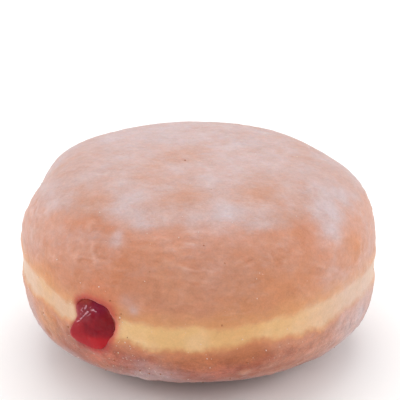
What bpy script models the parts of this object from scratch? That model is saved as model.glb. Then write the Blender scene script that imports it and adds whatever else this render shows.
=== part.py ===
"""A jelly filled doughnut, resting on its fried underside.

Two solids: the dough, a plump round bun with a pale proof line round its waist,
and the jelly, one piece that runs from the mouth in the side of the bun down
the filling nozzle's channel and into the pocket in the middle.

Metres, +Z up.  The origin is the middle of the flat spot that the bun rests on.
Angles are measured round +Z from +X, and -Y is the front.
"""

import math

import bmesh
import bpy
from mathutils import Vector

MM = 0.001

# ---- the bun -------------------------------------------------------------
WAIST_RADIUS = 46.0  # mean radius at the proof line, mm
WAIST_HEIGHT = 24.0  # height of the proof line above the table
CROWN_RISE = 27.8  # proof line to the top of the crown
BASE_DROP = 24.9  # proof line to the bottom, before the base is flattened
CROWN_POWER = 3.36  # superellipse power of the shoulder: 2 is round, 4 boxy
BASE_POWER = 2.94
WAIST_RECESS = 0.25  # how far the proof line lies behind the crust
WAIST_BAND = 3.3  # half the height of the proof line
PLAN_OFFSET = (0.3, -1.5)  # brings the middle of the outline to the origin

# Lobes of the plan outline, share of the radius: (cos, sin) of 1, 2, 3... times the angle
PLAN_LOBES = (
    (-0.0058, 0.0310),
    (-0.0063, 0.0059),
    (0.0028, -0.0002),
    (-0.0010, 0.0004),
    (0.0002, -0.0008),
    (0.0007, -0.0003),
    (0.0024, -0.0024),
)
# The proof line isn't level: mm, (cos, sin) of 1, 2, 3 times the angle
WAIST_WAVE = ((-1.01, 0.32), (0.48, -0.20), (-0.26, -0.69))
# The crown and the base are fuller on some sides: share of the rise
CROWN_LEAN = ((-0.015, 0.029), (0.003, 0.002), (0.001, -0.003))
BASE_LEAN = ((-0.030, 0.064), (0.098, 0.025))
# Dents and swellings left by proving and frying:
# (angle, elevation, both degrees; depth mm, out is positive; spread degrees)
DENTS = (
    (170.2, 32.4, -1.84, 9.0),
    (148.5, 38.9, 0.83, 11.0),
    (171.1, 9.0, 0.72, 11.0),
    (33.1, 39.9, -0.92, 10.0),
    (18.3, 38.1, 0.98, 12.0),
    (46.4, 39.7, 0.80, 14.0),
    (250.8, -42.7, -1.16, 18.0),
    (289.3, -33.2, -0.09, 18.0),
)

# ---- the mouth, the channel and the pocket ---------------------------------
MOUTH_ANGLE = 235.5  # where the filling went in, degrees
MOUTH_ASIDE = 0.35  # mm to the right of that, seen from outside
MOUTH_HEIGHT = 24.0
MOUTH_RADIUS = 6.35
MOUTH_LOBES = ((0.07, -0.05), (0.04, 0.49), (0.47, 0.28), (-0.29, 0.35), (0.11, -0.11))
BULGE = 1.7  # how far the jelly stands out of the mouth
LIP_FLARE = 0.12  # the cut opens by this share where it meets the crust
CHANNEL_RADIUS = 4.2  # left by the filling nozzle
POCKET_DEPTH = 43.0  # from the mouth to the middle of the pocket
POCKET_HALF = (20.5, 19.5, 10.0)  # along the channel, across it, and upwards
FIT_GAP = 0.3  # between the jelly and the dough

AROUND, ROWS_UP, ROWS_DOWN = 72, 18, 12
RING, STATIONS_IN = 26, 24


def waves(pairs, angle, first=1):
    """Sum of cos and sin terms whose frequency goes up by one each time."""
    return sum(
        c * math.cos(k * angle) + s * math.sin(k * angle)
        for k, (c, s) in enumerate(pairs, first)
    )


def shaded(pairs, angle, share):
    """The same, each term fading towards the axis as share to the power k."""
    return sum(
        (c * math.cos(k * angle) + s * math.sin(k * angle)) * share**k
        for k, (c, s) in enumerate(pairs, 1)
    )


def bun_point(angle, turn):
    """A point of the bun's skin, mm. turn is 0 at the proof line, 90 degrees at the crown."""
    power = CROWN_POWER if turn > 0 else BASE_POWER
    c, s = abs(math.cos(turn)), abs(math.sin(turn))
    scale = (c**power + s**power) ** (-1 / power)
    out, rise = c * scale, s * scale
    lobed = WAIST_RADIUS * waves(PLAN_LOBES, angle)
    radius = out * (WAIST_RADIUS + lobed * out**0.6)
    z = WAIST_HEIGHT + waves(WAIST_WAVE, angle) * out**2
    if turn > 0:
        z += CROWN_RISE * (1 + shaded(CROWN_LEAN, angle, out)) * rise
    else:
        z -= BASE_DROP * (1 + shaded(BASE_LEAN, angle, out)) * rise
    away = Vector(
        (
            math.cos(angle) * math.cos(turn),
            math.sin(angle) * math.cos(turn),
            math.sin(turn),
        )
    )
    shift = -WAIST_RECESS * math.exp(-((WAIST_RADIUS * 0.62 * turn / WAIST_BAND) ** 4))
    for at, up, depth, spread in DENTS:
        a, e = math.radians(at), math.radians(up)
        centre = Vector(
            (math.cos(a) * math.cos(e), math.sin(a) * math.cos(e), math.sin(e))
        )
        shift += depth * math.exp(
            -0.5 * (math.degrees(away.angle(centre, 0)) / spread) ** 2
        )
    return (
        radius * math.cos(angle) + away.x * shift + PLAN_OFFSET[0],
        radius * math.sin(angle) + away.y * shift + PLAN_OFFSET[1],
        max(0.0, z + away.z * shift),
    )


def turn_of_base(angle):
    """The turn at which the skin meets the table, found by halving."""
    low, high = math.radians(-89), math.radians(-10)
    for _ in range(40):
        middle = (low + high) / 2
        if bun_point(angle, middle)[2] > 0:
            high = middle
        else:
            low = middle
    return high


def make_material(name, colour, roughness):
    material = bpy.data.materials.new(name)
    material.use_nodes = True
    shader = material.node_tree.nodes["Principled BSDF"]
    shader.inputs["Base Color"].default_value = (*colour, 1.0)
    shader.inputs["Roughness"].default_value = roughness
    shader.inputs["Metallic"].default_value = 0.0
    material.diffuse_color = (*colour, 1.0)
    return material


def make_object(name, bm, material=None, smooth_to=40):
    bmesh.ops.recalc_face_normals(bm, faces=bm.faces[:])
    mesh = bpy.data.meshes.new(name)
    bm.to_mesh(mesh)
    bm.free()
    mesh.shade_smooth()
    mesh.set_sharp_from_angle(angle=math.radians(smooth_to))
    obj = bpy.data.objects.new(name, mesh)
    bpy.context.scene.collection.objects.link(obj)
    if material:
        mesh.materials.append(material)
    return obj


def bridge(bm, rings):
    """Quads between each ring of vertices and the next."""
    for a, b in zip(rings, rings[1:]):
        n = len(a)
        for i in range(n):
            bm.faces.new((a[i], a[(i + 1) % n], b[(i + 1) % n], b[i]))


def build_bun():
    """The whole skin: a flat base polygon, rings up to the crown, and a fan on top."""
    bm = bmesh.new()
    angles = [2 * math.pi * i / AROUND for i in range(AROUND)]
    bases = [turn_of_base(a) for a in angles]
    rings = []
    for row in range(ROWS_DOWN + ROWS_UP):
        ring = []
        for angle, base in zip(angles, bases):
            if row < ROWS_DOWN:
                turn = base * (1 - row / ROWS_DOWN) ** 1.15
            else:
                share = (row - ROWS_DOWN) / ROWS_UP
                turn = math.radians(90) * share * (0.72 + 0.28 * share)
            x, y, z = bun_point(angle, turn)
            ring.append(bm.verts.new((x * MM, y * MM, (0.0 if row == 0 else z) * MM)))
        rings.append(ring)
    bm.faces.new(rings[0][::-1])
    bridge(bm, rings)
    top = bm.verts.new([v * MM for v in bun_point(0.0, math.radians(90))])
    last = rings[-1]
    for i in range(AROUND):
        bm.faces.new((last[i], last[(i + 1) % AROUND], top))
    return bm


def mouth_frame():
    """(middle of the mouth, direction outwards, direction to the right), mm."""
    angle = math.radians(MOUTH_ANGLE)
    outward = Vector((math.cos(angle), math.sin(angle), 0))
    right = Vector((0, 0, 1)).cross(outward)
    middle = Vector(bun_point(angle, 0.0)) + right * MOUTH_ASIDE
    middle.z = MOUTH_HEIGHT
    return middle, outward, right


def mouth_radius(angle):
    return MOUTH_RADIUS + waves(MOUTH_LOBES, angle)


def filling_section(depth, grow):
    """[(across, up)] of the filling at this depth behind the mouth, mm, or a cut's if grow is over 0."""
    past = (depth - POCKET_DEPTH) / POCKET_HALF[0]
    wide = math.sqrt(max(0.0, 1 - past * past))
    behind = max(0.0, min(1.0, (depth - POCKET_DEPTH) / 8 + 1))
    channel = CHANNEL_RADIUS * (1 - behind)
    across = (channel**4 + (POCKET_HALF[1] * wide) ** 4) ** 0.25
    upward = (channel**4 + (POCKET_HALF[2] * wide) ** 4) ** 0.25
    taper = max(0.0, min(1.0, 1 - depth / 8.0))
    taper = taper * taper * (3 - 2 * taper)
    points = []
    for i in range(RING):
        a = 2 * math.pi * i / RING
        mouth = mouth_radius(a)
        points.append(
            (
                math.cos(a) * (mouth * taper + across * (1 - taper) + grow),
                math.sin(a) * (mouth * taper + upward * (1 - taper) + grow),
            )
        )
    return points


def build_filling(cut):
    """The jelly, or with cut the slightly larger space it lies in, which runs out past the crust."""
    middle, outward, right = mouth_frame()
    grow = FIT_GAP if cut else 0.0
    end = POCKET_DEPTH + POCKET_HALF[0] + grow
    first = 0.6
    depths = [
        first + (end - first) * math.sin(math.pi / 2 * i / STATIONS_IN)
        for i in range(STATIONS_IN)
    ]
    bm = bmesh.new()
    rings = []

    def add_ring(points, depth):
        centre = middle - outward * depth
        rings.append(
            [
                bm.verts.new((centre + right * x + Vector((0, 0, y))) * MM)
                for x, y in points
            ]
        )

    if cut:
        for k in (3, 2, 1):
            flare = 1 + LIP_FLARE * k / 2
            section = [(x * flare, y * flare) for x, y in filling_section(0, grow)]
            add_ring(section, -1.4 * k)
    else:
        for k in range(4, 0, -1):
            t = math.pi / 2 * k / 5
            section = [
                (x * math.cos(t), y * math.cos(t) - 0.8 * math.sin(t))
                for x, y in filling_section(0, 0)
            ]
            add_ring(section, first - (first + BULGE) * math.sin(t))
    for depth in depths:
        add_ring(filling_section(depth, grow), depth)
    bridge(bm, rings)
    if cut:
        bm.faces.new(rings[0])
    else:
        tip = bm.verts.new((middle + outward * BULGE + Vector((0, 0, -0.8))) * MM)
        for i in range(RING):
            bm.faces.new((rings[0][i], tip, rings[0][(i + 1) % RING]))
    back = bm.verts.new((middle - outward * end) * MM)
    for i in range(RING):
        bm.faces.new((rings[-1][i], rings[-1][(i + 1) % RING], back))
    return bm


def main():
    for obj in list(bpy.data.objects):
        bpy.data.objects.remove(obj)

    crust = make_material("fried_crust", (0.60, 0.30, 0.16), 0.55)
    jam = make_material("fruit_jelly", (0.30, 0.012, 0.03), 0.12)

    dough = make_object("dough", build_bun(), crust)
    space = make_object("filling_space", build_filling(cut=True))
    space.hide_render = True
    space.display_type = "WIRE"
    cut = dough.modifiers.new("filling_space", "BOOLEAN")
    cut.operation = "DIFFERENCE"
    cut.solver = "EXACT"
    cut.object = space

    make_object("jelly", build_filling(cut=False), jam, 60)


main()
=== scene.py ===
"""The looks of the jelly filled doughnut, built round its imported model.

Shapes are worked out in millimetres and become metres when their meshes are
made.  Angles are measured round +Z from +X, and -Y is the front.
"""

import math

import bpy
import numpy as np
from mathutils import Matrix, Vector, kdtree


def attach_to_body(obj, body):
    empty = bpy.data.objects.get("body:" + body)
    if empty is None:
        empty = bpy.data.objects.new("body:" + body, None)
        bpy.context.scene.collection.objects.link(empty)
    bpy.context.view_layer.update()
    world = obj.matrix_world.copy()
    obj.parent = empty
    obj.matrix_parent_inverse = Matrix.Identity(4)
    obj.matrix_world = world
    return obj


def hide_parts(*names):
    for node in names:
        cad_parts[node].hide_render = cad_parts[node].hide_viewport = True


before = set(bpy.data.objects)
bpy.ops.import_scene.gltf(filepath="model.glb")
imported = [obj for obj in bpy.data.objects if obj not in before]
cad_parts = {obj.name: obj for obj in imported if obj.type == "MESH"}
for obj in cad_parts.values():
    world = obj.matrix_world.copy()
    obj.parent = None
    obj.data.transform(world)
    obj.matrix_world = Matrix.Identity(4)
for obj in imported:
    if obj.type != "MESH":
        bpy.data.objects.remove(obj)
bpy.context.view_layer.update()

MM = 0.001

# ---- the bun's skin, as in the CAD model ------------------------------------
WAIST_RADIUS = 46.0
WAIST_HEIGHT = 24.0
CROWN_RISE = 27.8
BASE_DROP = 24.9
CROWN_POWER = 3.36
BASE_POWER = 2.94
PLAN_OFFSET = (0.3, -1.5)
PLAN_LOBES = (
    (-0.0058, 0.0310),
    (-0.0063, 0.0059),
    (0.0028, -0.0002),
    (-0.0010, 0.0004),
    (0.0002, -0.0008),
    (0.0007, -0.0003),
    (0.0024, -0.0024),
)
WAIST_WAVE = ((-1.01, 0.32), (0.48, -0.20), (-0.26, -0.69))
CROWN_LEAN = ((-0.015, 0.029), (0.003, 0.002), (0.001, -0.003))
BASE_LEAN = ((-0.030, 0.064), (0.098, 0.025))
DENTS = (
    (170.2, 32.4, -1.84, 9.0),
    (148.5, 38.9, 0.83, 11.0),
    (171.1, 9.0, 0.72, 11.0),
    (33.1, 39.9, -0.92, 10.0),
    (18.3, 38.1, 0.98, 12.0),
    (46.4, 39.7, 0.80, 14.0),
    (250.8, -42.7, -1.16, 18.0),
    (289.3, -33.2, -0.09, 18.0),
)
MOUTH_ANGLE = 235.5
MOUTH_ASIDE = 0.35
MOUTH_RADIUS = 6.35
MOUTH_LOBES = ((0.07, -0.05), (0.04, 0.49), (0.47, 0.28), (-0.29, 0.35), (0.11, -0.11))
CHANNEL_RADIUS = 4.2
POCKET_DEPTH = 43.0
POCKET_HALF = (20.5, 19.5, 10.0)

# ---- the finer shape ----------------------------------------------------------
COLUMNS = 448  # round the bun, with the mouth as the pole
RINGS = 212  # from the mouth to the far side
HALVED_TO, HALVED_FROM = 42, 186  # rings before and after these have half the columns
BAND_TOP, BAND_BOTTOM = 3.2, -2.2  # edges of the proof line above and below the waist
LIP = 0.85  # radius of the mouth's rounded edge


def waves(pairs, angle, share=1.0):
    """Sum of cos and sin terms of 1, 2, 3... times the angle, fading as share to that power."""
    return sum(
        (c * np.cos(k * angle) + s * np.sin(k * angle)) * share**k
        for k, (c, s) in enumerate(pairs, 1)
    )


def bun(angle, turn):
    """Points of the plain skin. turn is 0 at the proof line and a right angle at the crown."""
    power = np.where(turn > 0, CROWN_POWER, BASE_POWER)
    c, s = np.abs(np.cos(turn)), np.abs(np.sin(turn))
    scale = (c**power + s**power) ** (-1 / power)
    out, rise = c * scale, s * scale
    radius = out * WAIST_RADIUS * (1 + waves(PLAN_LOBES, angle) * out**0.6)
    z = WAIST_HEIGHT + waves(WAIST_WAVE, angle) * out**2
    z = z + rise * np.where(
        turn > 0,
        CROWN_RISE * (1 + waves(CROWN_LEAN, angle, out)),
        -BASE_DROP * (1 + waves(BASE_LEAN, angle, out)),
    )
    away = unit(angle, turn)
    shift = 0.0
    for at, up, depth, spread in DENTS:
        facing = away @ unit(math.radians(at), math.radians(up))
        off = np.degrees(np.arccos(np.clip(facing, -1, 1)))
        shift = shift + depth * np.exp(-0.5 * (off / spread) ** 2)
    points = away * np.asarray(shift)[..., None]
    points[..., 0] += radius * np.cos(angle) + PLAN_OFFSET[0]
    points[..., 1] += radius * np.sin(angle) + PLAN_OFFSET[1]
    points[..., 2] = np.maximum(points[..., 2] + z, 0)
    return points


def unit(angle, up):
    """The unit vector at this angle and elevation."""
    return np.stack(
        [np.cos(angle) * np.cos(up), np.sin(angle) * np.cos(up), np.sin(up) + 0 * angle],
        -1,
    )


def smooth(value, low, high):
    """0 below low, 1 above high, and an S between."""
    t = np.clip((value - low) / (high - low), 0, 1)
    return t * t * (3 - 2 * t)


def bell(value, width):
    return np.exp(-0.5 * (value / width) ** 2)


class Noise:
    """Gradient noise in three dimensions, about -0.7 to 0.7, the same on every run."""

    def __init__(self, seed):
        rng = np.random.default_rng(seed)
        self.order = rng.permutation(256)
        slope = rng.normal(size=(256, 3))
        self.slope = slope / np.linalg.norm(slope, axis=1, keepdims=True)

    def __call__(self, points):
        cell = np.floor(points).astype(int)
        f = points - cell
        w = f * f * f * (f * (f * 6 - 15) + 10)
        total = np.zeros(len(points))
        for corner in np.ndindex(2, 2, 2):
            at = (cell + corner) & 255
            pick = self.order[(self.order[(self.order[at[:, 0]] + at[:, 1]) & 255] + at[:, 2]) & 255]
            near = np.where(corner, w, 1 - w).prod(1)
            total += near * ((f - corner) * self.slope[pick]).sum(1)
        return total

    def layers(self, points, count, gain=0.5):
        """Several octaves added up."""
        total = np.zeros(len(points))
        for k in range(count):
            total += gain**k * self(points * 2.0**k + 19.7 * k)
        return total


# ---- places -----------------------------------------------------------------
CENTRE = np.array([*PLAN_OFFSET, WAIST_HEIGHT])
_out = unit(math.radians(MOUTH_ANGLE), 0.0)
_right = np.cross((0, 0, 1), _out)
MOUTH = bun(np.array(math.radians(MOUTH_ANGLE)), np.array(0.0)) + _right * MOUTH_ASIDE
MOUTH[2] = WAIST_HEIGHT
AXIS = (MOUTH - CENTRE) / np.linalg.norm(MOUTH - CENTRE)
UP = np.array([0.0, 0.0, 1.0])
RIGHT = np.cross(UP, AXIS)


def mouth_radius(angle):
    return MOUTH_RADIUS + waves(MOUTH_LOBES, angle)


def degrees_from(angle, centre):
    """Degrees from a direction in degrees, -180 to 180."""
    return (np.degrees(angle) - centre + 180) % 360 - 180


def opening(around):
    """Radius of the mouth as it shows: the dough has sprung back over its right side, and torn a little elsewhere."""
    radius = mouth_radius(around) - 1.75 * bell(degrees_from(around, 26), 27.0)
    for at, wide, change in ((104, 9, -0.2), (124, 12, -0.7), (186, 13, -0.85), (228, 16, 0.5), (272, 20, 0.28)):
        radius = radius + change * bell(degrees_from(around, at), wide)
    return radius


def from_mouth(points):
    """(to the right, upwards, outwards) of the middle of the mouth."""
    offset = points - MOUTH
    return offset @ RIGHT, offset @ UP, offset @ AXIS


def skin_along(directions):
    """The plain skin in these directions from the bun's middle, with its angle and turn."""
    angle = np.arctan2(directions[..., 1], directions[..., 0])
    slope = np.arctan2(directions[..., 2], np.hypot(directions[..., 0], directions[..., 1]))
    low = np.full_like(angle, -math.pi / 2)
    high = np.full_like(angle, math.pi / 2)
    for _ in range(24):
        turn = (low + high) / 2
        p = bun(angle, turn) - CENTRE
        out = p[..., 0] * np.cos(angle) + p[..., 1] * np.sin(angle)
        under = np.arctan2(p[..., 2], out) < slope
        low, high = np.where(under, turn, low), np.where(under, high, turn)
    return bun(angle, turn), angle, turn


def round_mouth(around, away):
    """Directions at an angle away from the mouth's axis, and an angle around it."""
    return np.cos(away)[..., None] * AXIS + np.sin(away)[..., None] * (
        np.cos(around)[..., None] * RIGHT + np.sin(around)[..., None] * UP
    )


def skin_beside_mouth(around, lateral):
    """Points of the plain skin this far from the mouth's axis."""
    away = np.arctan2(lateral, np.linalg.norm(MOUTH - CENTRE))
    for _ in range(5):
        points, angle, turn = skin_along(round_mouth(around, away))
        reach = np.linalg.norm(points - CENTRE, axis=-1)
        away = np.arcsin(np.clip(lateral / reach, 0, 0.99))
    return points, away


# ---- noises used by more than one piece ----------------------------------------
BROAD, MIDDLE, FINE, RAGGED = Noise(11), Noise(12), Noise(13), Noise(14)


def ring_faces(sizes):
    """Faces between rings whose vertices follow one another; each ring is as long as the next, twice, or half."""
    faces, start = [], 0
    for n, m in zip(sizes, sizes[1:]):
        a, b = start, start + n
        if n == m:
            i = np.arange(n)
            j = (i + 1) % n
            faces += np.stack([a + i, a + j, b + j, b + i], 1).tolist()
        elif n > m:
            for i in range(m):
                j, k = (2 * i + 1), (2 * i + 2) % n
                p, q = b + i, b + (i + 1) % m
                faces += [[a + 2 * i, a + j, p], [a + j, q, p], [a + j, a + k, q]]
        else:
            for i in range(n):
                j, k = (2 * i + 1), (2 * i + 2) % m
                p, q = a + i, a + (i + 1) % n
                faces += [[p, b + j, b + 2 * i], [p, q, b + j], [q, b + k, b + j]]
        start += n
    return faces


def fan(tip, first, size, turned):
    i = np.arange(size)
    j = (i + 1) % size
    if turned:
        i, j = j, i
    return np.stack([np.full(size, tip), first + i, first + j], 1).tolist()


def mesh_object(name, points, faces, material):
    mesh = bpy.data.meshes.new(name)
    mesh.from_pydata((points * MM).tolist(), [], faces)
    mesh.update()
    mesh.shade_smooth()
    mesh.materials.append(material)
    obj = bpy.data.objects.new(name, mesh)
    bpy.context.scene.collection.objects.link(obj)
    return obj


def attach(obj, name, values):
    """Stores a number, or a vector, for every vertex."""
    values = np.asarray(values, np.float32)
    kind = "FLOAT" if values.ndim == 1 else "FLOAT_VECTOR"
    layer = obj.data.attributes.new(name, kind, "POINT")
    layer.data.foreach_set("value" if values.ndim == 1 else "vector", values.ravel())


def normals_of(points, faces):
    """Vertex normals of rings of quads and triangles."""
    quads = np.array([f if len(f) == 4 else [f[0], f[1], f[2], f[2]] for f in faces])
    a, b, c, d = (points[quads[:, k]] for k in range(4))
    flat = np.cross(c - a, d - b) + np.cross(b - a, c - a) * (quads[:, 2:3] == quads[:, 3:])
    total = np.zeros_like(points)
    for k in range(4):
        np.add.at(total, quads[:, k], flat)
    return total / (np.linalg.norm(total, axis=1, keepdims=True) + 1e-12)


def filling_lateral(around, depth, grow):
    """How far the filling's space reaches from its axis: (across, up), at each depth behind the mouth."""
    past = (depth - POCKET_DEPTH) / POCKET_HALF[0]
    wide = np.sqrt(np.maximum(0, 1 - past * past))
    behind = np.clip((depth - POCKET_DEPTH) / 8 + 1, 0, 1)
    channel = CHANNEL_RADIUS * (1 - behind)
    across = (channel**4 + (POCKET_HALF[1] * wide) ** 4) ** 0.25
    upward = (channel**4 + (POCKET_HALF[2] * wide) ** 4) ** 0.25
    taper = 1 - smooth(depth, 0, 8)
    mouth = opening(around)
    return (
        np.cos(around) * (mouth * taper + across * (1 - taper) + grow),
        np.sin(around) * (mouth * taper + upward * (1 - taper) + grow),
    )


def within(around, depth, grow):
    """Points of the wall of the filling's space."""
    x, y = filling_lateral(around, depth, grow)
    return MOUTH + x[..., None] * RIGHT + y[..., None] * UP - (depth + 0 * x)[..., None] * AXIS


# ---- the dough -------------------------------------------------------------------
def lip_radius(around):
    """The mouth's rounded edge is tighter in some places."""
    return LIP * (1 + 0.20 * np.sin(3 * around - 1.2) + 0.10 * np.sin(7 * around + 2.0))


def torn(around):
    """The pierced edge isn't smooth: small tears and nicks."""
    p = np.stack([np.cos(around) * 3.1, np.sin(around) * 3.1, 0 * around + 4.2], -1)
    return 0.26 * RAGGED.layers(p.reshape(-1, 3), 4, 0.65).reshape(around.shape)


def build_dough(material):
    half = COLUMNS // 2
    half_around = np.arange(half) * (2 * math.pi / half)
    around = np.arange(COLUMNS) * (2 * math.pi / COLUMNS)

    # The skin's rings lie evenly along meridians from the mouth's edge to the far side.
    coarse = np.arange(COLUMNS // 4) * (8 * math.pi / COLUMNS)
    edge = opening(coarse) + lip_radius(coarse) + torn(coarse)
    _, first = skin_beside_mouth(coarse, edge)
    share = np.linspace(0, 1, 360)
    away = first[:, None] + (math.pi - first[:, None]) * share
    line, _, _ = skin_along(round_mouth(coarse[:, None] + 0 * away, away))
    step = np.linalg.norm(np.diff(line, axis=1), axis=2)
    length = np.concatenate([np.zeros((len(coarse), 1)), np.cumsum(step, axis=1)], 1)
    t = np.arange(RINGS) / RINGS
    wanted = 0.72 * t + 0.28 * t * t
    spaced = np.array([np.interp(wanted * l[-1], l, w) for l, w in zip(length, away)])
    spaced = np.concatenate([spaced, spaced[:1]])
    turns = np.append(coarse, 2 * math.pi)
    spaced = np.stack([np.interp(around, turns, spaced[:, k]) for k in range(RINGS)], 1)
    exact = opening(around) + lip_radius(around) + torn(around)
    _, first = skin_beside_mouth(around, exact)
    spaced += (first - spaced[:, 0])[:, None] * np.exp(-np.arange(RINGS) / 12.0)

    rings, depths = [], []
    wall = 1.0 - np.cos(np.linspace(0, math.pi / 2, 34))
    end = POCKET_DEPTH + POCKET_HALF[0] - 0.02
    for depth in (LIP + (end - LIP) * (1 - wall))[1:]:
        wear = torn(half_around) * (1 - smooth(depth, 1, 5))
        rings.append(within(half_around, np.full(half, depth), wear))
        depths.append(depth)
    for k in range(9, 0, -1):
        lean = math.pi / 2 * k / 9
        radius = lip_radius(half_around)
        lateral = opening(half_around) + torn(half_around) + radius * (1 - math.sin(lean))
        points, _ = skin_beside_mouth(half_around, lateral)
        rings.append(points - (radius * (1 - math.cos(lean)))[:, None] * AXIS)
        depths.append(-1.0)
    for k in range(RINGS):
        thin = k < HALVED_TO or k >= HALVED_FROM
        use = slice(None, None, 2) if thin else slice(None)
        points, _, _ = skin_along(round_mouth(around[use], spaced[use, k]))
        rings.append(points)
        depths.append(-2.0)
    sizes = [len(r) for r in rings]
    tip_in = MOUTH - (end + 0.02) * AXIS
    tip_out, _, _ = skin_along(-AXIS[None])
    points = np.concatenate([*rings, tip_in[None], tip_out])
    count = sum(sizes)
    faces = ring_faces(sizes)
    faces += fan(count, 0, sizes[0], True)
    faces += fan(count + 1, count - sizes[-1], sizes[-1], False)
    kind = np.concatenate([np.full(n, d) for n, d in zip(sizes, depths)] + [[60.0, -2.0]])
    normals = normals_of(points, faces)
    if (normals[-1] @ AXIS) > 0:
        faces = [f[::-1] for f in faces]
        normals = -normals
    outside = kind < 0
    points, marks = finer(points, normals, outside)
    obj = mesh_object("dough_skin", points, faces, material)
    for name, values in marks.items():
        attach(obj, name, values)
    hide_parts("dough")
    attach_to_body(obj, "root")
    return obj, points, faces, marks


# Patches of the skin: (angle, turn in degrees, spread in mm, amount)
GLAZE_AND_SHEEN_PATCHES = (  # where the dried sugar glaze lies thicker, or has rubbed off; the pale ones on the right shoulder also hold a painted soft highlight, and those low at the right end a painted reflection of the pale surroundings
    (140, 54, 7.0, 0.15),
    (196, 56, 4.0, 0.10),
    (220, 47, 4.2, -0.26),
    (233, 38, 5.5, 0.20),
    (172, 80, 6.0, -0.14),
    (140, 86, 5.0, -0.12),
    (283, 27, 5.0, 0.20),
    (257, 29, 4.5, -0.12),
    (248, 56, 3.0, -0.13),
    (297, 16, 4.0, -0.12),
    (283, 38, 5.0, -0.12),
    (263, 62, 3.3, -0.20),
    (234, 55, 3.0, 0.12),
    (284, 59, 3.2, 0.14),
    (295, 72, 4.0, 0.12),
    (221, 60, 4.0, 0.12),
    (228, 68, 4.0, -0.12),
    (240, 43, 1.1, 0.30),
    (240, 40, 1.3, 0.26),
    (241, 56, 5.0, 0.14),
    (248, 48, 1.8, 0.14),
    (258, 41, 5.5, 0.13),
    (274, 46, 5.0, 0.20),
    (282, 52, 3.6, 0.24),
    (306, 62, 3.3, -0.19),
    (308, 49, 3.6, -0.16),
    (327, 42, 3.4, 0.46),
    (321, 36, 2.6, 0.36),
    (296, 44, 5.0, 0.16),
    (218, 34, 4.0, 0.14),
    (257, -33, 4.0, 0.34),
    (268, -14, 8.0, -0.24),
    (289, -12, 6.0, -0.20),
    (213, -20, 4.0, -0.30),
    (203, -17, 3.6, 0.25),
    (245, -32, 5.0, 0.36),
    (309, -22, 5.0, -0.12),
    (320, 1, 6.0, 0.24),
    (250, 13, 1.1, 0.46),
    (247, 17, 1.6, 0.26),
    (258, -16, 3.0, 0.16),
    (332, 24, 3.0, -0.34),
    (344, 52, 5.0, 0.12),
    (356, 43, 3.6, -0.20),
    (181, 48, 5.0, -0.14),
    (216, -4, 8.0, -0.40),
    (237, -18, 5.5, -0.42),
    (224, -30, 4.0, 0.20),
    (276, -27, 4.0, -0.20),
    (271, -29, 4.0, 0.42),
    (338, 2, 5.0, 0.30),
    (340, -18, 8.0, 0.22),
)
TAN_PATCHES = (  # browner, or paler where negative
    (232, 16, 4.0, 0.14),
    (224, 43, 4.0, 0.20),
    (212, 6, 4.0, 0.12),
    (236, -24, 8.0, 0.26),
    (237, 35, 7.0, 0.14),
    (285, -11, 3.6, 0.32),
    (268, -15, 9.0, 0.14),
    (272, -21, 2.6, 0.34),
    (203, -17, 3.6, -0.20),
    (241, -17, 3.0, 0.14),
    (256, 9, 1.3, 0.22),
    (277, 8, 0.9, 0.30),
    (214, -12, 4.0, 0.12),
    (274, -26, 5.0, 0.26),
    (268, 20, 10.0, -0.22),
    (300, 18, 9.0, -0.14),
    (322, 12, 9.0, -0.14),
    (318, -16, 9.0, -0.12),
)
OCHRE_PATCHES = (  # yellower
    (224, 43, 4.6, 0.22),
    (262, 60, 2.4, 0.15),
    (306, 62, 2.8, 0.20),
    (332, 25, 3.2, 0.50),
    (214, 11, 4.5, 0.75),
    (213, -15, 4.0, 0.85),
    (300, 15, 8.0, 0.60),
    (280, 10, 7.0, 0.40),
    (262, -12, 6.0, 0.30),
    (283, 3, 3.0, 0.80),
    (256, 9, 1.6, 0.60),
    (278, 7, 3.0, 0.60),
)
BROWN_PATCHES = (  # deep golden brown
    (258, -14, 4.0, 0.35),
    (267, -12, 4.5, 0.50),
    (272, -19, 2.6, 0.42),
    (279, -15, 3.6, 0.40),
    (285, -10, 3.2, 0.90),
    (292, -13, 3.0, 0.30),
    (214, -16, 3.4, 0.50),
)
BLUSH_PATCHES = (  # redder
    (238, 13, 4.0, 0.90),
    (241, 52, 0.9, 0.80),
    (276, -27, 4.0, 0.50),
    (272, -21, 2.6, 0.30),
    (236, -20, 7.0, 0.50),
    (250, 46, 2.4, 0.40),
    (336, 52, 5.0, 0.35),
    (208, 18, 2.6, 0.45),
)
TONGUES = (  # places where the pale band runs down a little: angle, half width and length
    (301, 1.2, 0.6),
    (304, 0.9, 0.8),
    (312, 1.6, 1.2),
    (255, 2.2, 0.5),
    (222, 1.4, 0.6),
    (25, 2.0, 1.2),
    (80, 1.6, 0.9),
    (118, 1.4, 1.3),
    (160, 1.8, 0.9),
)
CREASES = (  # long soft wrinkles of the skin: height in mm, then (angle, turn) along each
    (0.18, (242, 39), (248, 39.5), (255, 40), (262, 41), (267, 43)),
    (0.14, (246, 43), (252, 43), (258, 44.5)),
    (0.14, (262, 46), (269, 47.5), (277, 47)),
    (0.15, (256, 33.5), (261, 34.5), (266, 34)),
    (0.13, (255, 30.5), (260, 30), (264, 31.5)),
    (0.13, (293, 41), (298, 39), (303, 40)),
    (0.14, (228, 31), (233, 33), (237, 31)),
    (0.15, (60, 44), (68, 41), (77, 42)),
    (0.16, (118, 38), (126, 36), (134, 39)),
)


def creases(points):
    """Height of the long wrinkles."""
    height = np.zeros(len(points))
    for rise, *path in CREASES:
        line = bun(*np.radians(np.array(path, float)).T)
        off = np.full(len(points), 99.0)
        for a, b in zip(line, line[1:]):
            along = np.clip((points - a) @ (b - a) / ((b - a) @ (b - a)), 0, 1)
            off = np.minimum(off, np.linalg.norm(points - a - along[:, None] * (b - a), axis=1))
        off += 0.9 * MIDDLE(points / 2.2 + 50.0)
        height = np.maximum(height, rise * bell(off, 0.55))
    return height


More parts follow.
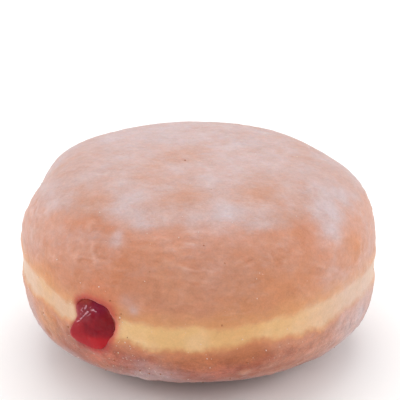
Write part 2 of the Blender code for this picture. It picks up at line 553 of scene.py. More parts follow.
def patches(points, rows, base=0.0):
    total = np.full(len(points), float(base))
    for angle, turn, spread, amount in rows:
        centre = bun(np.array(math.radians(angle)), np.array(math.radians(turn)))
        total += amount * bell(np.linalg.norm(points - centre, axis=1), spread)
    return total


def scatter(rng, count):
    """Points of the plain skin, spread evenly over all directions, and their heights against the proof line."""
    way = rng.normal(size=(count, 3))
    way /= np.linalg.norm(way, axis=1, keepdims=True)
    points, angle, _ = skin_along(way)
    return points, points[:, 2] - WAIST_HEIGHT - waves(WAIST_WAVE, angle)


def blisters(points, near_skin):
    """Small bubbles and pits that hot fat leaves: most of them below the proof line and at its edges."""
    rng = np.random.default_rng(21)
    centres, belt = scatter(rng, 1500)
    chance = 0.16 + 0.75 * smooth(-belt, 2.0, 6.0) * smooth(centres[:, 2], 0.5, 3.0)
    chance += 0.5 * bell(belt - BAND_TOP - 1.0, 1.5)
    chance *= 1 - 0.9 * bell(belt, 1.8)
    keep = rng.random(len(centres)) < chance
    centres = centres[keep]
    radius = 0.55 + 1.25 * rng.random(len(centres)) ** 2.2
    height = radius * (0.10 + 0.12 * rng.random(len(centres)))
    height = np.where(rng.random(len(centres)) < 0.3, -0.8 * height, height)
    tree = kdtree.KDTree(len(near_skin))
    for i in near_skin:
        tree.insert(points[i], i)
    tree.balance()
    shift = np.zeros(len(points))
    for centre, r, h in zip(centres, radius, height):
        for _, i, d in tree.find_range(centre, r * 1.3):
            shift[i] += h * max(0.0, 1 - (d / (r * 1.3)) ** 2) ** 2
    return shift


def wrinkles(points, size, wide, seed):
    """Short raised lines, 0 to 1, lying mostly round the bun, each with a sharper lower side."""
    lines, breaks = Noise(seed), Noise(seed + 1)
    p = points * (0.5, 0.5, 1.0) / size
    line = lines.layers(p, 2, 0.35)
    ridge = np.exp(-((line / wide) ** 2)) - 0.6 * np.exp(-(((line - 1.6 * wide) / wide) ** 2))
    return ridge * smooth(breaks(p * 0.9 + 5.0), -0.04, 0.22)


def finer(points, normals, outside):
    """Adds the skin's fine relief, and works out what the material needs to know about each vertex."""
    angle = np.arctan2(points[:, 1] - CENTRE[1], points[:, 0] - CENTRE[0])
    belt = points[:, 2] - WAIST_HEIGHT - waves(WAIST_WAVE, angle)
    x, y, depth = from_mouth(points)
    round_it = np.arctan2(y, x)
    beside = np.hypot(x, y) - opening(round_it)
    near = depth > -9

    top = BAND_TOP + 1.1 * RAGGED.layers(points / 6.0 + 7.0, 3)
    top -= 0.9 * bell(degrees_from(angle, 286), 8.0) + 1.4 * bell(degrees_from(angle, 223), 5.0)
    top += 0.3 * bell(degrees_from(angle, 303), 6.0)
    bottom = BAND_BOTTOM + 1.0 * RAGGED.layers(points / 5.5 + 31.0, 3)
    bottom += 1.1 * bell(degrees_from(angle, 287), 4.6) + 0.5 * bell(degrees_from(angle, 296), 6.0)
    bottom -= 0.4 * bell(degrees_from(angle, 308), 8.0)
    for at, wide, length in TONGUES:
        bottom -= length * bell(degrees_from(angle, at), wide)
    band = smooth(belt, bottom - 0.6, bottom + 0.6) * (1 - smooth(belt, top - 0.8, top + 0.8))

    shift = 0.14 * BROAD.layers(points / 21.0, 2)
    shift += 0.15 * MIDDLE.layers(points / 6.5 + 3.0, 3, 0.45)
    shift -= 0.26 * band
    shift += 0.10 * bell(belt - top - 1.0, 0.8) + 0.14 * bell(belt - bottom + 1.0, 0.7)
    clear = smooth(beside, 1.5, 4.0) * (1 - band)
    shoulder = smooth(belt, 3.5, 7.0)
    folds = wrinkles(points, 3.4, 0.11, 41) + 0.7 * wrinkles(points, 1.9, 0.15, 47)
    crown = smooth(belt, 17.0, 23.0)
    folds = folds * clear * shoulder * (1 - 0.55 * crown) + 0.9 * creases(points) / 0.17
    shift += 0.17 * folds
    pocks = blisters(points, np.flatnonzero(outside)) * clear
    shift += pocks
    shift += 0.22 * bell(beside - 1.5, 0.8) * near
    low = smooth(-belt, 2.0, 7.0)
    shift += 0.10 * low * FINE.layers(points / 1.9, 2)
    shift = np.where(outside, shift, 0.0)
    shift *= smooth(points[:, 2], 0.0, 3.0)
    moved = points + normals * shift[:, None]
    moved[:, 2] = np.maximum(moved[:, 2], 0)

    # Pale glaze over the crown, a little behind its middle, and round both ends. Part of it is painted light: a
    # painted soft highlight on the crown, and a painted reflection of the pale surroundings round the ends and along
    # their lower edges.
    facing = (points - CENTRE) / (46.0, 46.0, 28.0)
    facing /= np.linalg.norm(facing, axis=1, keepdims=True)
    off = np.degrees(np.arccos(np.clip(facing @ (0.0, 0.259, 0.966), -1, 1)))
    side = smooth(np.abs(points[:, 0]), 25.0, 43.0)
    covered = smooth(61 - off + 5.0 * MIDDLE.layers(points / 9.0, 2), 0, 9)
    glaze_and_painted_sheen = 0.10 + 0.34 * covered + 0.22 * smooth(48 - off, 0, 38)
    glaze_and_painted_sheen += 0.24 * side * smooth(np.abs(belt), 4.0, 9.0) + 0.22 * low * FINE.layers(points / 5.0 + 90.0, 2)
    glaze_and_painted_sheen += (0.27 + 0.25 * MIDDLE.layers(points / 11.0 + 70.0, 2)) * smooth(3.0 * side - belt, 12.0, 18.0)
    glaze_and_painted_sheen += 0.10 * BROAD.layers(points / 13.0 + 40.0, 2)
    tan = 0.42 + 0.38 * low - 0.16 * side + 0.16 * MIDDLE.layers(points / 15.0 + 60.0, 2)
    tan += 0.16 * covered * (1 - side)

    # Jelly has soaked into the crust round the mouth, least at the left.
    reach = 2.7 + 1.6 * bell(degrees_from(round_it, 255), 45) + 0.7 * bell(degrees_from(round_it, 80), 45)
    reach += 1.5 * bell(degrees_from(round_it, 38), 24) - 1.0 * bell(degrees_from(round_it, 178), 24)
    stain = 1 - smooth(beside, -0.6, reach)
    stain = np.where(near, stain, 0.0)
    stain = np.where(outside, stain, 1.0)
    marks = {
        "over": belt - top,
        "under": bottom - belt,
        "stain": stain,
        "inside": np.where(outside, 0.0, 1.0),
        "fold": folds,
        "pock": pocks,
        "pale": smooth(np.abs(points[:, 0]), 14.0, 38.0),
        "matt": covered,
        "harsh": 0.7 + 0.2 * shoulder + 1.5 * low,
        # glaze, with a painted highlight on the crown and a painted reflection low at the ends
        "glaze_and_painted_sheen": patches(points, GLAZE_AND_SHEEN_PATCHES) + glaze_and_painted_sheen,
        "tan": patches(points, TAN_PATCHES) + tan,
        "ochre": patches(points, OCHRE_PATCHES) + 0.25 * FINE.layers(points / 17.0 + 80.0, 2),
        "brown": patches(points, BROWN_PATCHES) + 0.2 * FINE.layers(points / 8.0 + 55.0, 2),
        "blush": patches(points, BLUSH_PATCHES) + 0.3 * FINE.layers(points / 9.0 + 20.0, 2),
    }
    return moved, marks


# ---- the jelly -----------------------------------------------------------------------
JELLY_RIDGES = (  # low wrinkles of the jelly's skin: height, and points (right, up) from the mouth's middle
    (0.26, (-5.1, -1.3), (-4.3, -0.7), (-3.4, 0.3), (-2.5, 1.45), (-1.9, 2.0)),
    (0.16, (-1.4, 2.3), (-0.6, 2.75), (0.4, 2.6)),
    (0.16, (-3.6, 2.2), (-3.3, 3.2)),
    (0.18, (-2.9, 2.3), (-2.6, 3.4)),
    (0.12, (-4.9, 1.6), (-4.6, 0.5)),
    (0.13, (-3.9, 1.0), (-3.3, 1.9)),
    (0.13, (-2.1, 0.9), (-1.2, 1.6)),
    (0.12, (-1.6, 3.0), (-1.1, 3.7)),
    (0.10, (-4.2, -1.6), (-3.6, -2.4)),
)


def ridges(x, y):
    """Height of the jelly's wrinkles, and how much of one lies here, 0 to 1, which is where a highlight is painted."""
    height, here = np.zeros_like(x), np.zeros_like(x)
    flat = np.stack([x, y, 0 * x], -1).reshape(-1, 3)
    wobble = 0.30 * FINE.layers(flat / 1.1 + 2.2, 2).reshape(x.shape)
    broken = smooth(MIDDLE(flat / 0.8 + 9.3).reshape(x.shape), -0.45, 0.05)
    for rise, *path in JELLY_RIDGES:
        off = np.full_like(x, 99.0)
        for (x0, y0), (x1, y1) in zip(path, path[1:]):
            length = math.hypot(x1 - x0, y1 - y0)
            along = np.clip(((x - x0) * (x1 - x0) + (y - y0) * (y1 - y0)) / length**2, 0, 1)
            off = np.minimum(off, np.hypot(x - x0 - along * (x1 - x0), y - y0 - along * (y1 - y0)))
        line = bell(off + wobble, 0.17) * broken
        height = np.maximum(height, rise * line)
        here = np.maximum(here, line * min(1.0, rise / 0.2))
    return height, here


def jelly_level(x, y):
    """How far the jelly stands out: sunk at the top, level with the skin at the left and below."""
    left = smooth(-x, 1.5, 4.8) * (1 - 0.5 * smooth(y, 2.0, 5.0))
    lobe = bell(np.hypot(x + 6.6, y + 4.6), 1.7)
    return -0.25 - 1.30 * smooth(y, -4.5, 4.2) * (1 - 0.80 * left) - 0.25 * smooth(x, 0, 6) + 0.10 * left + 0.35 * lobe


def build_jelly(material):
    n, steps = 320, 84
    around = np.arange(n) * (2 * math.pi / n)
    over = 0.32 - 0.28 * bell(degrees_from(around, 60), 50.0) + 0.20 * bell(degrees_from(around, 250), 30.0)
    over += 0.15 * bell(degrees_from(around, 170), 25.0) + 0.75 * bell(degrees_from(around, 216), 8.0)
    edge = opening(around) + torn(around) + 0.10 + over
    rings, marks = [], []
    for k in range(1, steps + 1):
        s = math.sin(math.pi / 2 * k / steps)
        x, y = s * edge * np.cos(around), s * edge * np.sin(around)
        p = np.stack([x / 3.6, y / 3.6, 0 * x + 9.1], -1)
        inner = 1 - s**8
        height, here = ridges(x, y)
        forward = jelly_level(x, y) + 0.80 * (1 - s**2.2) ** 1.15
        forward += (0.34 * FINE.layers(p, 3, 0.4) + height) * inner - 0.12 * s**16
        rings.append(MOUTH + x[:, None] * RIGHT + y[:, None] * UP + forward[:, None] * AXIS)
        marks.append(np.stack([x, y, here * inner], -1))
    half = n // 2
    few = around[::2]
    end = POCKET_DEPTH + POCKET_HALF[0] - 0.02
    depths = 2.9 + (end - 2.9) * np.sin(np.linspace(0, math.pi / 2, 36))
    for depth in depths[:-1]:
        hold = 0.12 * (1 - smooth(depth, 2, 8)) - 0.05 * smooth(depth, 2, 8)
        wear = torn(few) * (1 - smooth(depth, 1, 5)) + hold
        rings.append(within(few, np.full(half, depth), wear))
        marks.append(np.zeros((half, 3)))
    sizes = [len(r) for r in rings]
    middle = jelly_level(np.zeros(1), np.zeros(1)) + 0.80
    points = np.concatenate([*rings, MOUTH + middle[:, None] * AXIS, (MOUTH - (end - 0.05) * AXIS)[None]])
    marks = np.concatenate([*marks, np.zeros((2, 3))])
    count = sum(sizes)
    faces = ring_faces(sizes) + fan(count, 0, n, True) + fan(count + 1, count - half, half, False)
    normals = normals_of(points, faces)
    if normals[count] @ AXIS < 0:
        faces = [f[::-1] for f in faces]
    obj = mesh_object("jelly_filling", points, faces, material)
    x, y = marks[:, 0], marks[:, 1]
    # the wrinkles' pale pink colour is a painted highlight
    attach(obj, "painted_highlight", marks[:, 2])
    # redder and lighter low down: painted light shining through the jelly
    attach(obj, "painted_glow", smooth(-y + 0.15 * x, 2.2, 5.4))
    attach(obj, "rosy", smooth(-x - 0.4 * y, 2.0, 5.2))
    # purplish dark at the sunk top: painted shade under the upper lip
    attach(obj, "purple_painted_shade", bell(np.hypot(x - 0.8, y - 3.8), 1.9))
    attach(obj, "russet", np.maximum(bell(np.hypot(x + 3.4, y - 5.4), 1.3), 0.8 * bell(np.hypot(x - 5.0, y - 3.7), 1.2)))
    # paler pink round the wrinkles: a painted soft sheen
    attach(obj, "painted_sheen", bell(np.hypot(x + 3.3, (y - 1.6) / 1.3), 1.5))
    # darker at the sunk right side: painted shade
    attach(obj, "painted_shade_right", bell(np.hypot((x - 3.6) / 1.5, (y - 0.8) / 1.2), 1.6))
    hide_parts("jelly")
    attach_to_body(obj, "root")
    return obj, points, faces


# ---- loose bits on the crust ---------------------------------------------------------
FLECK_PLACES = (  # darker bits that stand out: angle, turn and size in mm
    (272, 43, 0.36),
    (278, 36, 0.38),
    (254, 32, 0.32),
    (244, -16, 0.60),
    (246, 10, 0.40),
    (225, -11, 0.75),
    (285, -20, 0.50),
    (277, 8, 0.50),
    (244, 9, 0.40),
    (245, 7, 0.35),
    (242, -22, 0.50),
    (246, -26, 0.45),
    (250, -28, 0.55),
    (253, -30, 0.45),
    (257, -29, 0.50),
    (261, -28, 0.40),
)

SUGAR_PATCHES = (  # where the flakes lie closest
    (243, -20, 2.5, 10.0),
    (250, -29, 3.5, 22.0),
    (300, -8, 3.0, 6.0),
    (244, 9, 1.2, 10.0),
)


def chip(rng, size):
    """An uneven flat bit with 12 corners, before it is laid on the skin."""
    t = (1 + 5**0.5) / 2
    corners = [(-1, t, 0), (1, t, 0), (-1, -t, 0), (1, -t, 0), (0, -1, t), (0, 1, t)]
    corners += [(0, -1, -t), (0, 1, -t), (t, 0, -1), (t, 0, 1), (-t, 0, -1), (-t, 0, 1)]
    corners = np.array(corners, float) / math.hypot(1, t)
    corners *= 0.5 * size * (0.72 + 0.5 * rng.random((12, 1)))
    return corners * (1.0 + 0.4 * rng.random(), 0.7 + 0.2 * rng.random(), 0.42 + 0.2 * rng.random())


CHIP_FACES = (
    (0, 11, 5), (0, 5, 1), (0, 1, 7), (0, 7, 10), (0, 10, 11), (1, 5, 9), (5, 11, 4), (11, 10, 2), (10, 7, 6), (7, 1, 8),
    (3, 9, 4), (3, 4, 2), (3, 2, 6), (3, 6, 8), (3, 8, 9), (4, 9, 5), (2, 4, 11), (6, 2, 10), (8, 6, 7), (9, 8, 1),
)  # fmt: skip


def lay_bits(name, material, seed, count, smallest, largest, chance, places=()):
    """Joins many small bits into one piece; each lies on the skin, a little sunk in."""
    rng = np.random.default_rng(seed)
    normals = normals_of(dough_points, dough_faces)
    chosen = rng.choice(len(dough_points), size=count, replace=False, p=chance / chance.sum())
    sizes = smallest + (largest - smallest) * rng.random(count) ** 2
    for angle, turn, size in places:
        spot = bun(np.array(math.radians(angle)), np.array(math.radians(turn)))
        chosen = np.append(chosen, np.argmin(np.linalg.norm(dough_points - spot, axis=1)))
        sizes = np.append(sizes, size)
    points, faces = [], []
    for i, size in zip(chosen, sizes):
        up = normals[i]
        side = np.cross(up, rng.normal(size=3))
        side /= np.linalg.norm(side)
        bit = chip(rng, size)
        place = dough_points[i] + 0.10 * size * up
        first = 12 * len(points)
        points.append(place + bit @ np.stack([side, np.cross(up, side), up]))
        faces += [[first + a, first + b, first + c] for a, b, c in CHIP_FACES]
    obj = mesh_object(name, np.concatenate(points), faces, material)
    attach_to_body(obj, "root")
    return obj


def build_bits():
    """Dried sugar flakes and toasted crumbs, thickest below the proof line and round the mouth."""
    x, y, depth = from_mouth(dough_points)
    beside = np.hypot(x, y) - opening(np.arctan2(y, x))
    skin = (dough_marks["inside"] < 0.5) * (dough_points[:, 2] > 1.2) * (beside > 1.6)
    edges = bell(dough_marks["over"], 1.0) + bell(dough_marks["under"], 1.2)
    below = smooth(dough_marks["under"], 0.0, 1.5)
    ring = bell(beside - 2.6, 1.5) * (depth > -9)
    sugar = lay_bits(
        "sugar_flakes", flake_material(), 61, 520, 0.15, 0.42,
        skin * (0.35 + 1.3 * edges + 2.4 * below + 0.4 * ring + patches(dough_points, SUGAR_PATCHES)),
    )
    crumbs = lay_bits(
        "toasted_crumbs", crumb_material(), 62, 70, 0.22, 0.60, skin * (0.3 + 0.8 * edges + 2.0 * below + 4.0 * ring), FLECK_PLACES
    )
    return sugar, crumbs


# ---- materials ---------------------------------------------------------------------------
def linear(r, g, b):
    """A linear colour from display values of 0 to 255."""
    return tuple(
        v / 12.92 if v <= 0.04045 else ((v + 0.055) / 1.055) ** 2.4
        for v in (r / 255, g / 255, b / 255)
    )


class Graph:
    """Short ways to add and join shader nodes."""

    def __init__(self, name):
        self.material = bpy.data.materials.new(name)
        self.material.use_nodes = True
        self.tree = self.material.node_tree
        self.shader = self.tree.nodes["Principled BSDF"]

    def node(self, kind, inputs=(), **settings):
        made = self.tree.nodes.new(kind)
        for key, value in settings.items():
            setattr(made, key, value)
        for key, value in dict(inputs).items():
            self.put(made.inputs[key], value)
        return made

    def put(self, socket, value):
        if isinstance(value, bpy.types.NodeSocket):
            self.tree.links.new(value, socket)
        elif socket.type == "RGBA" and len(value) == 3:
            socket.default_value = (*value, 1.0)
        else:
            socket.default_value = value

    def mark(self, name, vector=False):
        made = self.node("ShaderNodeAttribute", attribute_name=name)
        return made.outputs["Vector" if vector else "Fac"]

    def sum(self, operation, a, b=0.0, c=0.0, clamp=False):
        made = self.node("ShaderNodeMath", {0: a, 1: b, 2: c}, operation=operation, use_clamp=clamp)
        return made.outputs[0]

    def spread(self, value, low, high, to_low=0.0, to_high=1.0):
        """low to high becomes to_low to to_high, in an S."""
        made = self.node(
            "ShaderNodeMapRange",
            {"Value": value, "From Min": low, "From Max": high, "To Min": to_low, "To Max": to_high},
            interpolation_type="SMOOTHSTEP",
        )
        return made.outputs["Result"]

    def mix(self, share, a, b, blend="MIX"):
        made = self.node("ShaderNodeMix", data_type="RGBA", blend_type=blend, clamp_factor=True)
        self.put(made.inputs["Factor"], share)
        self.put(made.inputs[6], a)
        self.put(made.inputs[7], b)
        return made.outputs[2]

    def noise(self, where, size, detail=2.0, rough=0.5, distortion=0.0):
        """Noise from 0 to 1 whose features are about size mm across."""
        made = self.node(
            "ShaderNodeTexNoise",
            {"Vector": where, "Scale": 1000.0 / size, "Detail": detail, "Roughness": rough, "Distortion": distortion},
        )
        return made.outputs["Fac"]

    def place(self):
        return self.node("ShaderNodeTexCoord").outputs["Object"]

    def scaled(self, value, by):
        return self.sum("MULTIPLY", value, by)

    def around(self, noise, reach):
        """A noise of 0 to 1 moved to lie about nought."""
        return self.node("ShaderNodeMath", {0: noise, 1: reach, 2: -reach / 2}, operation="MULTIPLY_ADD").outputs[0]

    def add(self, *values):
        total = values[0]
        for value in values[1:]:
            total = self.sum("ADD", total, value)
        return total

    def mix_value(self, share, a, b):
        made = self.node("ShaderNodeMix", data_type="FLOAT")
        self.put(made.inputs[0], share)
        self.put(made.inputs[2], a)
        self.put(made.inputs[3], b)
        return made.outputs[0]

    def ramp(self, value, *stops):
        made = self.node("ShaderNodeValToRGB", {"Fac": value})
        points = made.color_ramp.elements
        while len(points) < len(stops):
            points.new(0.5)
        for point, (at, colour) in zip(points, stops):
            point.position = at
            point.color = (*colour, 1.0)
        return made.outputs["Color"]


def dough_material():
    g = Graph("fried_crust_finish")
    place = g.place()

    def squashed(x, y, z):
        return g.node("ShaderNodeVectorMath", {0: place, 1: (x, y, z)}, operation="MULTIPLY").outputs[0]

    flat = squashed(0.45, 0.45, 1.0)
    blotch = g.noise(place, 9.0, 3.0, 0.55)
    mottle = g.noise(place, 2.6, 4.0, 0.6)
    grain = g.noise(place, 0.7, 3.0, 0.6)
    streak = g.noise(flat, 1.7, 5.0, 0.68)
    lines = g.noise(squashed(0.16, 0.8, 1.0), 0.55, 3.0, 0.6)
    brushed = g.spread(g.noise(place, 6.0, 2.0), 0.45, 0.62)
    fold, pock = g.mark("fold"), g.mark("pock")

    # The crust, from pale gold to red-brown.
    uneven = g.add(g.around(blotch, 0.34), g.around(mottle, 0.30), g.around(grain, 0.16))
    tan = g.add(
        g.mark("tan"),
        g.sum("MULTIPLY", uneven, g.mark("harsh")),
        g.scaled(fold, -0.14),
        g.scaled(pock, -0.9),
    )
    crust = g.ramp(
        tan,
        (0.0, (0.558, 0.325, 0.235)),
        (0.35, (0.512, 0.252, 0.178)),
        (0.65, (0.446, 0.179, 0.109)),
        (1.0, (0.32, 0.078, 0.040)),
    )
    ochre = g.spread(g.add(g.mark("ochre"), g.around(mottle, 0.3)), 0.1, 0.9, 0.0, 0.75)
    crust = g.mix(ochre, crust, (0.60, 0.28, 0.12))
    blush = g.spread(g.add(g.mark("blush"), g.around(mottle, 0.3)), 0.1, 0.9, 0.0, 0.8)
    crust = g.mix(blush, crust, (0.60, 0.185, 0.11))
    brown = g.spread(g.add(g.mark("brown"), g.around(mottle, 0.4)), 0.1, 1.0, 0.0, 0.9)
    crust = g.mix(brown, crust, (0.435, 0.142, 0.055))
    crust = g.mix(g.scaled(g.mark("matt"), 0.72), crust, (0.378, 0.270, 0.220))
    speck = g.add(g.around(g.noise(place, 0.40, 2.0, 0.6), 0.32), g.around(g.noise(place, 1.3, 3.0, 0.6), 0.34))
    speck = g.add(speck, g.around(g.noise(flat, 2.4, 3.0, 0.55), 0.24), g.scaled(fold, 0.06))
    speck = g.sum("MULTIPLY_ADD", speck, g.mark("harsh"), 1.0)

    # The proof line, where the dough never touched the fat, with golden edges.
    nibble = g.add(g.around(g.noise(place, 3.4, 4.0, 0.6), 2.6), g.around(g.noise(place, 0.8, 2.0), 0.5))
    over = g.add(g.mark("over"), nibble)
    under = g.add(g.mark("under"), nibble)
    above = g.spread(over, -1.3, 1.5)
    below = g.spread(under, -0.9, 0.8)
    crust = g.mix(g.scaled(g.spread(under, 4.2, 0.4), 0.6), crust, (0.53, 0.19, 0.08))
    gold = g.sum("MINIMUM", g.spread(over, 5.5, 0.2), g.spread(under, 1.6, 0.0))
    crust = g.mix(g.scaled(gold, 0.7), crust, (0.63, 0.30, 0.125))
    cream = g.mix(g.spread(g.noise(place, 7.0, 2.0), 0.35, 0.65), (0.74, 0.475, 0.245), (0.71, 0.43, 0.185))
    cream = g.mix(g.mark("pale"), cream, (0.63, 0.405, 0.27))
    cream = g.mix(g.scaled(ochre, 0.9), cream, (0.68, 0.37, 0.15))
    band = g.sum("MULTIPLY", g.sum("SUBTRACT", 1.0, above), g.sum("SUBTRACT", 1.0, below))
    colour = g.mix(band, crust, cream)

    # Dried sugar glaze: a thin white bloom, streaked and broken, which also carries a painted soft highlight on the
    # crown and a painted reflection of the pale surroundings along the ends' lower edges.
    glaze_and_painted_sheen = g.add(
        g.mark("glaze_and_painted_sheen"),
        g.around(g.noise(place, 5.0, 3.0, 0.55), 0.46),
        g.around(streak, 0.22),
        g.sum("MULTIPLY", brushed, g.around(lines, 0.28)),
        g.around(grain, 0.08),
        g.scaled(fold, 0.07),
    )
    glaze_and_painted_sheen = g.spread(glaze_and_painted_sheen, 0.0, 1.1, 0.0, 0.92)
    glaze_and_painted_sheen = g.sum("MULTIPLY", glaze_and_painted_sheen, g.sum("SUBTRACT", 1.0, g.sum("MULTIPLY", band, 0.5)))
    colour = g.mix(glaze_and_painted_sheen, colour, (0.527, 0.464, 0.496))

    # Jelly has soaked into the crust round the mouth, and reddened the crumb inside.
    crumb = g.mix(g.noise(place, 1.1, 3.0, 0.6), (0.70, 0.46, 0.24), (0.56, 0.33, 0.15))
    colour = g.mix(g.mark("inside"), colour, crumb)
    soaked = g.mark("stain")
    stain = g.spread(g.add(soaked, g.around(mottle, 0.5)), 0.0, 0.75)
    colour = g.mix(stain, colour, (0.86, 0.46, 0.52), "MULTIPLY")
    deep = g.spread(g.add(soaked, g.around(mottle, 0.4)), 0.42, 1.0)
    colour = g.mix(deep, colour, (0.82, 0.36, 0.42), "MULTIPLY")

    grey = g.node("ShaderNodeCombineColor", {0: speck, 1: speck, 2: speck}).outputs[0]
    colour = g.mix(1.0, colour, grey, "MULTIPLY")
    g.put(g.shader.inputs["Base Color"], colour)
    rough = g.spread(glaze_and_painted_sheen, 0.0, 0.7, 0.42, 0.62)
    g.put(g.shader.inputs["Roughness"], g.mix_value(stain, rough, 0.28))
    g.shader.inputs["Specular IOR Level"].default_value = 0.25
    g.shader.inputs["Sheen Weight"].default_value = 0.12
    g.shader.inputs["Sheen Roughness"].default_value = 0.55
    g.shader.inputs["Sheen Tint"].default_value = (1.0, 0.93, 0.93, 1)
    g.shader.inputs["Subsurface Weight"].default_value = 0.15
    g.shader.inputs["Subsurface Radius"].default_value = (1.0, 0.42, 0.22)
    g.shader.inputs["Subsurface Scale"].default_value = 0.0015

    # Skin texture too fine for the mesh: pores and small wrinkles.
    pores = g.noise(place, 0.55, 3.0, 0.65)
    creased = g.sum("MULTIPLY", brushed, g.scaled(lines, 0.16))
    height = g.add(g.scaled(pores, 0.12), g.scaled(mottle, 0.40), g.scaled(streak, 0.40), creased)
    bump = g.node("ShaderNodeBump", {"Height": height, "Strength": 0.7, "Distance": 0.0007})
    g.put(g.shader.inputs["Normal"], bump.outputs[0])
    return g.material


def jelly_material():
    g = Graph("fruit_jelly_finish")
    place = g.place()
    cloud = g.noise(place, 2.4, 3.0, 0.55)
    pulp = g.noise(place, 0.55, 2.0, 0.5)
    colour = g.mix(g.spread(cloud, 0.35, 0.7), (0.192, 0.0040, 0.0112), (0.250, 0.0052, 0.0125))
    shift = g.around(cloud, 0.5)
    for name, reach, tint in (
        # the first tint is painted light shining through the jelly's lower part
        ("painted_glow", 0.85, (0.44, 0.0080, 0.0135)),
        ("rosy", 0.70, (0.345, 0.0150, 0.0220)),
        # the next two tints are painted shade in the sunk top and right of the jelly
        ("purple_painted_shade", 0.70, (0.19, 0.0060, 0.0320)),
        ("painted_shade_right", 0.60, (0.165, 0.0060, 0.0080)),
        # this tint is a painted soft sheen round the wrinkles
        ("painted_sheen", 0.55, (0.28, 0.0550, 0.0700)),
        ("russet", 0.90, (0.40, 0.0660, 0.0400)),
    ):
        share = g.spread(g.add(g.mark(name), shift), 0.0, 1.0, 0.0, reach)
        colour = g.mix(share, colour, tint)
    colour = g.mix(g.spread(pulp, 0.60, 0.85, 0.0, 0.35), colour, (0.13, 0.004, 0.010))
    # pale pink along the wrinkles: a painted highlight
    painted_highlight = g.spread(g.add(g.mark("painted_highlight"), g.around(pulp, 0.5)), 0.25, 1.0, 0.0, 0.85)
    colour = g.mix(painted_highlight, colour, (0.60, 0.30, 0.35))
    g.put(g.shader.inputs["Base Color"], colour)
    g.shader.inputs["Roughness"].default_value = 0.10
    g.shader.inputs["Specular IOR Level"].default_value = 0.22
    g.shader.inputs["IOR"].default_value = 1.38
    g.shader.inputs["Subsurface Weight"].default_value = 0.25
    g.shader.inputs["Subsurface Radius"].default_value = (1.0, 0.12, 0.15)
    g.shader.inputs["Subsurface Scale"].default_value = 0.0012
    bump = g.node("ShaderNodeBump", {"Height": g.scaled(pulp, 0.3), "Strength": 0.25, "Distance": 0.0003})
    g.put(g.shader.inputs["Normal"], bump.outputs[0])
    return g.material


def flake_material():
    g = Graph("dried_sugar_finish")
    place = g.place()
    colour = g.mix(g.spread(g.noise(place, 0.5, 2.0), 0.35, 0.65), (0.72, 0.58, 0.50), (0.66, 0.45, 0.35))
    colour = g.mix(g.spread(g.noise(place, 6.0, 2.0), 0.40, 0.70), colour, (0.74, 0.62, 0.60))
    g.put(g.shader.inputs["Base Color"], colour)
    g.put(g.shader.inputs["Roughness"], g.spread(g.noise(place, 0.3, 2.0), 0.3, 0.7, 0.25, 0.5))
    g.shader.inputs["Subsurface Weight"].default_value = 0.4
    g.shader.inputs["Subsurface Radius"].default_value = (1.0, 0.7, 0.5)
    g.shader.inputs["Subsurface Scale"].default_value = 0.0003
    bump = g.node("ShaderNodeBump", {"Height": g.noise(place, 0.12, 3.0), "Strength": 0.4, "Distance": 0.00005})
    g.put(g.shader.inputs["Normal"], bump.outputs[0])
    return g.material


def crumb_material():
    g = Graph("toasted_crumb_finish")
    place = g.place()
    colour = g.mix(g.spread(g.noise(place, 4.0, 2.0), 0.35, 0.65), (0.34, 0.105, 0.042), (0.46, 0.190, 0.085))
    colour = g.mix(g.spread(g.noise(place, 0.2, 2.0), 0.50, 0.80), colour, (0.20, 0.055, 0.022))
    g.put(g.shader.inputs["Base Color"], colour)
    g.shader.inputs["Roughness"].default_value = 0.6
    g.shader.inputs["Specular IOR Level"].default_value = 0.25
    bump = g.node("ShaderNodeBump", {"Height": g.noise(place, 0.15, 3.0), "Strength": 0.5, "Distance": 0.00008})
    g.put(g.shader.inputs["Normal"], bump.outputs[0])
    return g.material


def floor_material():
    g = Graph("pale_floor")
    g.put(g.shader.inputs["Base Color"], (0.93, 0.93, 0.93))
    g.shader.inputs["Roughness"].default_value = 0.9
    g.shader.inputs["Specular IOR Level"].default_value = 0.0
    return g.material


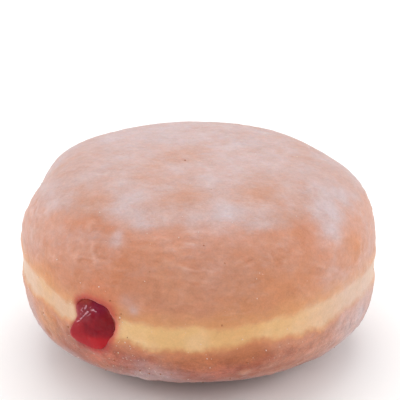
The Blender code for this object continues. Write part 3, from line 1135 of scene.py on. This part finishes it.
# ---- the stage ---------------------------------------------------------------------------------
def softbox(name, size, place, aim, power, colour=(1, 1, 1), height=None):
    data = bpy.data.lights.new(name, "AREA")
    data.shape = "RECTANGLE"
    data.size, data.size_y = size, height or size
    data.energy = power
    data.color = colour
    lamp = bpy.data.objects.new(name, data)
    bpy.context.scene.collection.objects.link(lamp)
    lamp.location = place
    lamp.rotation_mode = "QUATERNION"
    lamp.rotation_quaternion = (Vector(place) - Vector(aim)).to_track_quat("Z", "Y")
    lamp.visible_camera = False
    return lamp


def build_stage():
    scene = bpy.context.scene
    scene.view_settings.view_transform = "Standard"
    scene.view_settings.look = "None"

    floor_mesh = bpy.data.meshes.new("floor")
    side = 3.0
    floor_mesh.from_pydata(
        [(-side, -side, 0), (side, -side, 0), (side, side, 0), (-side, side, 0)], [], [(0, 1, 2, 3)]
    )
    floor_mesh.materials.append(floor_material())
    floor = bpy.data.objects.new("floor", floor_mesh)
    scene.collection.objects.link(floor)

    world = bpy.data.worlds.new("studio")
    scene.world = world
    world.use_nodes = True
    sky = world.node_tree.nodes["Background"]
    sky.inputs["Color"].default_value = (1, 1, 1, 1)
    sky.inputs["Strength"].default_value = 0.72

    softbox("top_light", 0.8, (0.0, 0.25, 0.85), (0, 0, 0.02), 3.3)
    softbox("front_light", 0.8, (0.0, -0.62, 0.52), (0, 0, 0.02), 0.75)
    softbox("left_light", 0.35, (-0.62, 0.02, 0.28), (0, 0, 0.03), 1.35, height=0.25)
    softbox("right_light", 0.35, (0.62, 0.02, 0.28), (0, 0, 0.03), 1.35, height=0.25)

    # The camera looks down at 24 degrees and a little over the bun.
    data = bpy.data.cameras.new("camera")
    data.sensor_width = 36.0
    data.lens = 1649.9 / 400 * 36
    data.clip_start, data.clip_end = 0.01, 20
    camera = bpy.data.objects.new("camera", data)
    scene.collection.objects.link(camera)
    down = 0.42083774
    target = Vector((0.3, -1.5, 25.75)) * MM
    camera.location = target + Vector((0, -math.cos(down), math.sin(down))) * 0.430
    pitch = math.pi / 2 - down + math.atan(51.4 / 1649.9)
    yaw = -math.atan(-0.56 / 1649.9)
    camera.rotation_euler = (pitch, 0, -yaw)
    scene.camera = camera


build_stage()
dough, dough_points, dough_faces, dough_marks = build_dough(dough_material())
jelly, jelly_points, jelly_faces = build_jelly(jelly_material())
build_bits()
